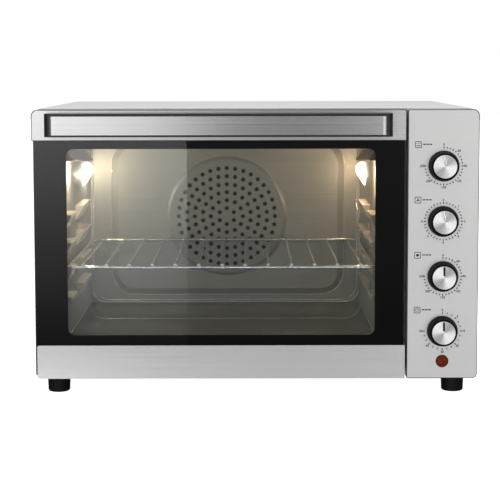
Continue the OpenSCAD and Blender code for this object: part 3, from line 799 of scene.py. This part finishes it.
def studio_world(stops):
    """White behind the object, and as its light a soft gradient from straight below to straight above."""
    made = bpy.data.worlds.new("studio")
    made.use_nodes = True
    tree = made.node_tree
    white = tree.nodes["Background"]
    white.inputs["Color"].default_value = (1, 1, 1, 1)
    soft = tree.nodes.new("ShaderNodeBackground")
    where = tree.nodes.new("ShaderNodeTexCoord")
    parts = tree.nodes.new("ShaderNodeSeparateXYZ")
    tree.links.new(where.outputs["Generated"], parts.inputs[0])
    height = tree.nodes.new("ShaderNodeMapRange")
    height.inputs["From Min"].default_value = -1
    tree.links.new(parts.outputs["Z"], height.inputs["Value"])
    ramp = tree.nodes.new("ShaderNodeValToRGB")
    set_stops(ramp, stops)
    tree.links.new(height.outputs["Result"], ramp.inputs["Fac"])
    tree.links.new(ramp.outputs["Color"], soft.inputs["Color"])
    path = tree.nodes.new("ShaderNodeLightPath")
    both = tree.nodes.new("ShaderNodeMixShader")
    tree.links.new(path.outputs["Is Camera Ray"], both.inputs[0])
    tree.links.new(soft.outputs[0], both.inputs[1])
    tree.links.new(white.outputs[0], both.inputs[2])
    tree.links.new(both.outputs[0], tree.nodes["World Output"].inputs["Surface"])
    bpy.context.scene.world = made


def floor():
    """A pale ground for the camera. It sends the oven no light, reflection or shadow."""
    mesh = bpy.data.meshes.new("floor")
    bm = bmesh.new()
    bmesh.ops.create_grid(bm, x_segments=2, y_segments=2, size=12)
    bm.to_mesh(mesh)
    bm.free()
    made = bpy.data.objects.new("floor", mesh)
    bpy.context.scene.collection.objects.link(made)
    g = Graph("pale_floor")
    g.set(Base_Color=g.ramp(g.noise((1, 1, 1)), (0.0, grey(0.86)), (1.0, grey(0.9))), Roughness=0.9,
          Emission_Color=(1, 1, 1, 1), Emission_Strength=0.97)
    mesh.materials.append(g.material)
    made.visible_diffuse = False
    made.visible_glossy = False
    made.visible_shadow = False


def studio_lights():
    """Three softboxes in front, which the steel mirrors, and one above. The door's panes leave out two."""
    panes = ("door_glass", "door_inner_glass")
    front_softbox("left_softbox", -1.37, 0.7, (2.26, 2.6), 1.55,
                  up=((0.0, 0.0), (0.077, 0.09), (0.194, 0.375), (0.33, 1.0)),
                  across=((0.0, 1.0), (0.7, 1.0), (1.0, 0.7)))
    right = front_softbox("right_softbox", 1.74, 0.3, (2.4, 2.6), 1.0, up=((0.0, 0.78), (1.0, 1.08)))
    spare(right, panes)
    low = front_softbox("low_softbox", -0.6, -0.9, (1.2, 4.8), 1.0, turn=90,
                        up=((0.0, 0.75), (0.40, 0.70), (0.52, 2.0)))
    spare(low, panes)
    area("top_softbox", (0, Y_GLASS - 0.2, 2.4), (2.4, 1.6), 2.2, (0, 0, 0.25))


WARM = (1.0, 0.74, 0.48)
AMBER = (1.0, 0.62, 0.33)


def cavity_lights(rack_dots):
    """The two lamps, and helpers for the shine of the hoods, the walls, a guide and the rack."""
    lo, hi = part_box("lamp_covers")
    lamp_y, lamp_z = (lo.y + hi.y) / 2, (lo.z + hi.z) / 2
    for side, x, out, colour, power in (("left", CAVITY_X[0], 1, WARM, 0.52),
                                        ("right", CAVITY_X[1], -1, AMBER, 0.225)):
        lamp = (x + out * 7 * MM, lamp_y + 16 * MM, lamp_z - 3 * MM)
        lamp_light(side + "_lamp_light", lamp, power, colour)
        hood = (x + out * 21 * MM, Y_GLASS + 112 * MM, lamp_z + 18 * MM)
        lamp_light(side + "_hood_light", hood, 0.55, colour)
    rear_corner = (CAVITY_X[1] - 22 * MM, rear_hi.y - 45 * MM, lamp_z + 8 * MM)
    lamp_light("right_corner_light", rear_corner, 0.03, AMBER)
    for name, place, power, colour in (
            ("left_fill", (-0.24, Y_GLASS + 0.33, 0.16), 0.18, (0.95, 0.98, 1.0)),
            ("right_fill", (0.07, Y_GLASS + 0.24, 0.12), 0.07, (0.80, 0.93, 1.0))):
        fill = lamp_light(name, place, power, colour)
        fill.data.shadow_soft_size = 0.05
        fill.visible_glossy = False
    glint = (CAVITY_X[0] + 130 * MM, Y_GLASS + 140 * MM, 0.33)
    only(lamp_light("guide_glint", glint, 1.3, (1.0, 0.84, 0.64)), [NODES["rack_guides_left"]])
    rack_front = area("rack_front_light", (-0.1, Y_GLASS - 1.2, -0.25), (1.8, 0.16), 14.0,
                      (-0.1, Y_GLASS, 0.2))
    only(rack_front, [NODES["wire_rack"], rack_dots])


bpy.context.scene.view_settings.view_transform = "Standard"
camera()
studio_world(((0.35, 0.02), (0.95, 0.8), (1.0, 1.0)))
studio_lights()
cavity_lights(rack_dots)
floor()
